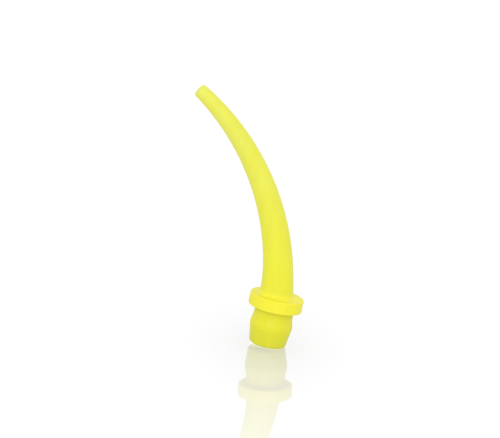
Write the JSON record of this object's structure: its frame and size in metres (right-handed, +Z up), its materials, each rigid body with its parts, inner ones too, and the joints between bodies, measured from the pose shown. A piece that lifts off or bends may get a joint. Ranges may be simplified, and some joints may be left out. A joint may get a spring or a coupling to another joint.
{
  "type": "curved dispensing tip",
  "caption": "Curved tapered dispensing tip with a finger collar and a barrel-shaped push-on socket, a one-piece plastic moulding.",
  "frame": {"origin": "centre of the socket's mouth, at the lower end of the tip", "axes": "+Z up the socket's axis towards the spout; the spout bends towards -X and lies in the XZ plane; +Y across the bend"},
  "size_m": [0.018, 0.0066, 0.0296],
  "materials": {
    "yellow_polypropylene": "satin, slightly translucent"
  },
  "bodies": {
    "root": {"socket_barrel": "yellow_polypropylene", "socket_neck": "yellow_polypropylene", "collar": "yellow_polypropylene", "nozzle_stop": "yellow_polypropylene", "spout_root": "yellow_polypropylene", "curved_spout": "yellow_polypropylene", "outlet_lip": "yellow_polypropylene"}
  },
  "joints": []
}
